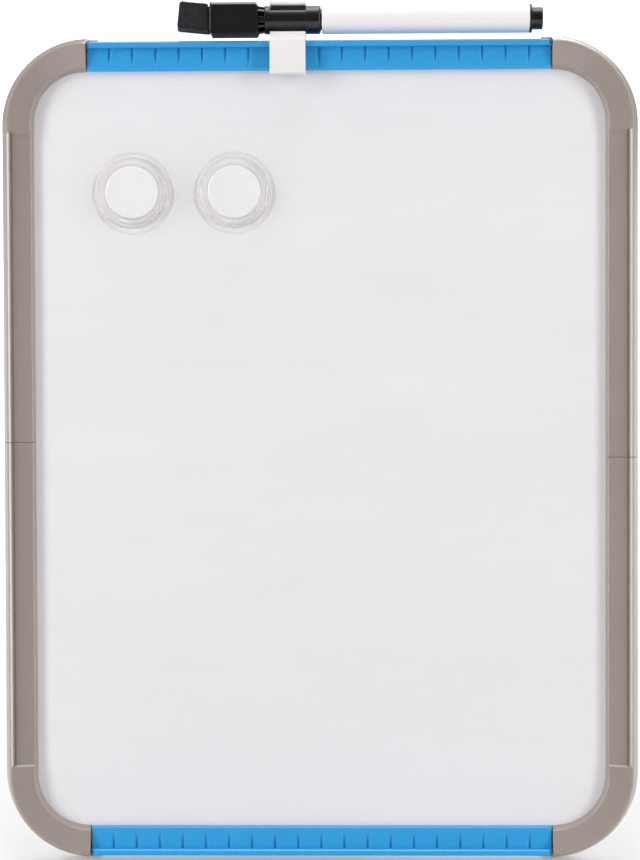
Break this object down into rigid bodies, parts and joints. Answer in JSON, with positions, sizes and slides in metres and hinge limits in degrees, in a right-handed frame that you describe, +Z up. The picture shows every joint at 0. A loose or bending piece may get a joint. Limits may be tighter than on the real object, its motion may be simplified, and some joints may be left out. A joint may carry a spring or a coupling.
{
  "type": "magnetic desk whiteboard easel",
  "caption": "Letter-size magnetic dry-erase board that stands on a fold-out leg, with a capped marker in a sliding clip and round clear magnets.",
  "frame": {"origin": "on the desk surface, midway between the two sides and midway between the foremost and the rearmost point of the standing easel", "axes": "+X to the right as the writing face is read, +Y away from the reader, +Z up; the board leans back 20 degrees from +Z"},
  "size_m": [0.216, 0.1124, 0.2764],
  "materials": {
    "corner_plastic": "satin",
    "rail_plastic": "satin",
    "enamelled_steel": "gloss",
    "hardboard": "raw",
    "liner": "satin",
    "stand_plastic": "satin",
    "plated_steel": "satin",
    "foot_rubber": "matte",
    "clip_plastic": "satin",
    "black_plastic": "gloss",
    "felt": "matte",
    "barrel_plastic": "gloss",
    "ink_fibre": "matte",
    "clear_plastic": "clear",
    "magnet_coating": "satin"
  },
  "bodies": {
    "board": {"corner_top_left": "corner_plastic", "corner_top_right": "corner_plastic", "corner_bottom_left": "corner_plastic", "corner_bottom_right": "corner_plastic", "top_rail": "rail_plastic", "bottom_rail": "rail_plastic", "writing_sheet": "enamelled_steel", "core_board": "hardboard", "back_liner": "liner", "stand_bracket": "stand_plastic", "bracket_screws": "plated_steel", "hinge_pin": "plated_steel", "hinge_push_nut": "plated_steel"},
    "leg": {"stand_leg": "stand_plastic", "foot_pad": "foot_rubber"},
    "clip": {"marker_clip": "clip_plastic"},
    "cap": {"marker_cap": "black_plastic", "eraser_felt": "felt"},
    "pen": {"pen_barrel": "barrel_plastic", "pen_end_plug": "black_plastic", "pen_nose": "black_plastic", "pen_nib": "ink_fibre", "ink_reservoir": "ink_fibre"},
    "left_magnet": {"left_magnet_knob": "clear_plastic", "left_magnet_disc": "magnet_coating"},
    "right_magnet": {"right_magnet_knob": "clear_plastic", "right_magnet_disc": "magnet_coating"}
  },
  "joints": [
    {"name": "leg_fold", "type": "hinge", "parent": "board", "child": "leg", "pos_m": [0, 0.01545, 0.15606], "axis": [-1, 0, 0], "range_deg": [0, 33]},
    {"name": "clip_slide", "type": "slide", "parent": "board", "child": "clip", "axis": [1, 0, 0], "range_m": [-0.0588, 0.0794]},
    {"name": "cap_release", "type": "slide", "parent": "clip", "child": "cap", "axis": [0, -0.9397, 0.342], "range_m": [0, 0.022]},
    {"name": "pen_draw", "type": "slide", "parent": "cap", "child": "pen", "axis": [1, 0, 0], "range_m": [0, 0.03]},
    {"name": "left_magnet_slide", "type": "slide", "parent": "board", "child": "left_magnet", "axis": [0, 0.342, 0.9397], "range_m": [-0.1995, 0.0249]},
    {"name": "right_magnet_slide", "type": "slide", "parent": "board", "child": "right_magnet", "axis": [0, 0.342, 0.9397], "range_m": [-0.1995, 0.0249]}
  ]
}
